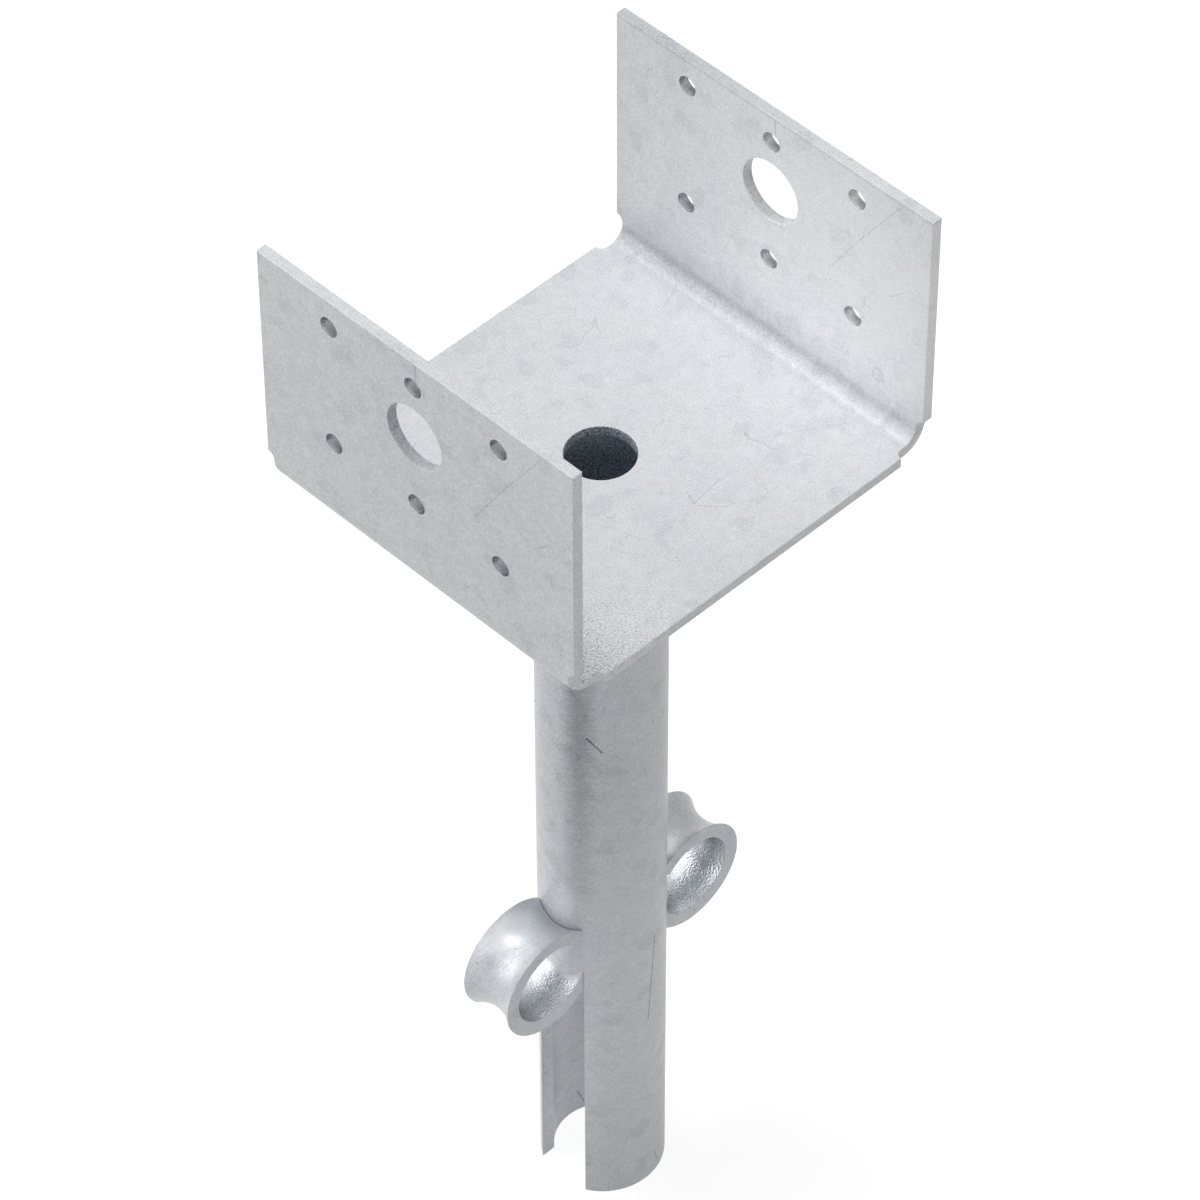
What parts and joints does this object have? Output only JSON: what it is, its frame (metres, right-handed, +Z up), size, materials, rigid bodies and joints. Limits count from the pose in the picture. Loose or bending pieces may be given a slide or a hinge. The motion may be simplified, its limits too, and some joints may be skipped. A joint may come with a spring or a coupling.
{
  "type": "timber post base",
  "caption": "U-shaped saddle of folded galvanised sheet on a round pipe anchor with rolled-out loops, for standing a timber post on concrete.",
  "frame": {"origin": "on the pipe's axis, at the seat that the post stands on", "axes": "+Z up out of the seat, X from flange to flange, Y along the flanges"},
  "size_m": [0.0952, 0.0826, 0.2678],
  "materials": {
    "galvanised_steel": "hot-dip galvanised, dull satin with faint spangle"
  },
  "bodies": {
    "root": {"saddle": "galvanised_steel", "anchor_pipe": "galvanised_steel", "weld_bead": "galvanised_steel"}
  },
  "joints": []
}
